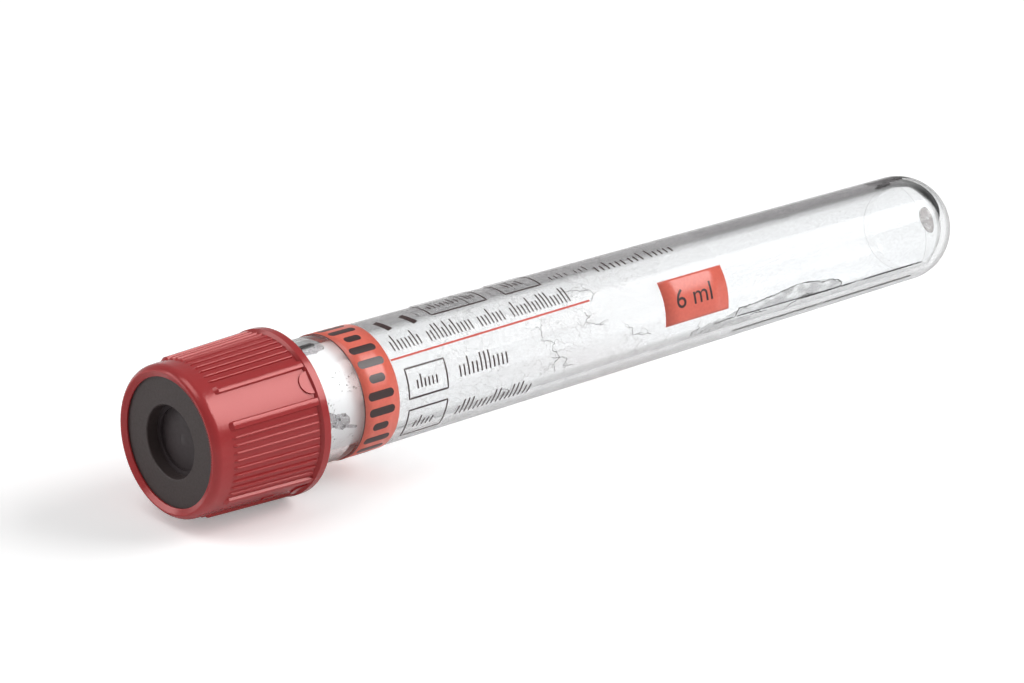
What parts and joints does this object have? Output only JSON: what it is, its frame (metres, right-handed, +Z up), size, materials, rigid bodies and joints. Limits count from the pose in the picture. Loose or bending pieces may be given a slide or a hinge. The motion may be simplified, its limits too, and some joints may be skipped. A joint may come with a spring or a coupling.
{
  "type": "blood collection tube",
  "caption": "Clear round-bottomed blood collection tube lying on its side, with a ribbed twist-off safety cap over a rubber stopper and a clear printed label.",
  "frame": {"origin": "under the middle of the lying tube, on the surface it rests on", "axes": "+Z up; +X along the tube from the cap to the round bottom, with the tube's axis 1.79 degrees lower at the round bottom; +Y across"},
  "size_m": [0.1061, 0.0168, 0.0169],
  "materials": {
    "clear_plastic": "clear and glossy",
    "label_film": "clear glossy film with a coral band, a coral patch and plain dark line work",
    "stopper_rubber": "matte, dark",
    "ring_plastic": "matte, near black",
    "cap_plastic": "satin, dark red"
  },
  "bodies": {
    "tube": {"tube": "clear_plastic", "label": "label_film"},
    "stopper": {"stopper": "stopper_rubber", "retaining_ring": "ring_plastic"},
    "cap": {"safety_cap": "cap_plastic"}
  },
  "joints": [
    {"name": "cap_twist", "type": "hinge", "parent": "stopper", "child": "cap", "pos_m": [-0.04597, 0, 0.00862], "axis": [-0.9995, 0, 0.0312], "range_deg": [0, 360]},
    {"name": "closure_lift", "type": "slide", "parent": "tube", "child": "stopper", "axis": [-0.9995, 0, 0.0312], "range_m": [0, 0.0082]}
  ],
  "couplings": [
    {"joint": "cap_twist", "follows": "closure_lift", "rad_per_m": 766.24}
  ]
}
